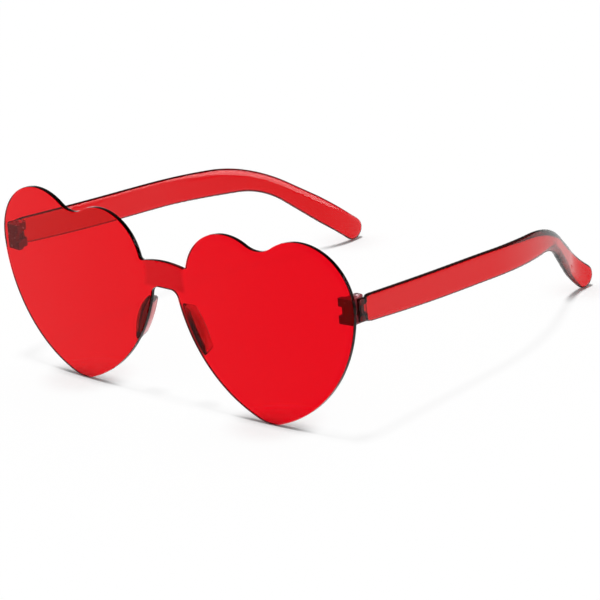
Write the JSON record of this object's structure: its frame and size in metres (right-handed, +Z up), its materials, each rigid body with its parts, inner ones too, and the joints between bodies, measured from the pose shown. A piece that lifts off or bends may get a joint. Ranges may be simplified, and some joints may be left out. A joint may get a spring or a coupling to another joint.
{
  "type": "heart shaped sunglasses",
  "caption": "Rimless sunglasses with a one-piece see-through lens of two joined hearts, nose pads and folding arms on small screw hinges.",
  "frame": {"origin": "centre of the footprint, on the floor the open pair stands on", "axes": "+X to the wearer's left, +Y from the lens back along the open temples, +Z up"},
  "size_m": [0.1468, 0.145, 0.0593],
  "materials": {
    "lens": "clear tinted polycarbonate, polished",
    "nose_pad": "clear tinted moulded plastic",
    "hinge_block": "clear tinted moulded plastic",
    "screw": "bright steel",
    "temple": "clear tinted polycarbonate, polished"
  },
  "bodies": {
    "front": {"lens": "lens", "nose_pad_left": "nose_pad", "nose_pad_right": "nose_pad", "hinge_block_left": "hinge_block", "hinge_block_right": "hinge_block", "hinge_screw_left": "screw", "hinge_screw_right": "screw"},
    "arm_left": {"temple_left": "temple"},
    "arm_right": {"temple_right": "temple"}
  },
  "joints": [
    {"name": "temple_left_fold", "type": "hinge", "parent": "front", "child": "arm_left", "pos_m": [0.07, -0.06329, 0.03987], "axis": [0, 0.0187, 0.9998], "range_deg": [0, 80]},
    {"name": "temple_right_fold", "type": "hinge", "parent": "front", "child": "arm_right", "pos_m": [-0.07, -0.06329, 0.03987], "axis": [0, -0.0187, -0.9998], "range_deg": [0, 70]}
  ]
}
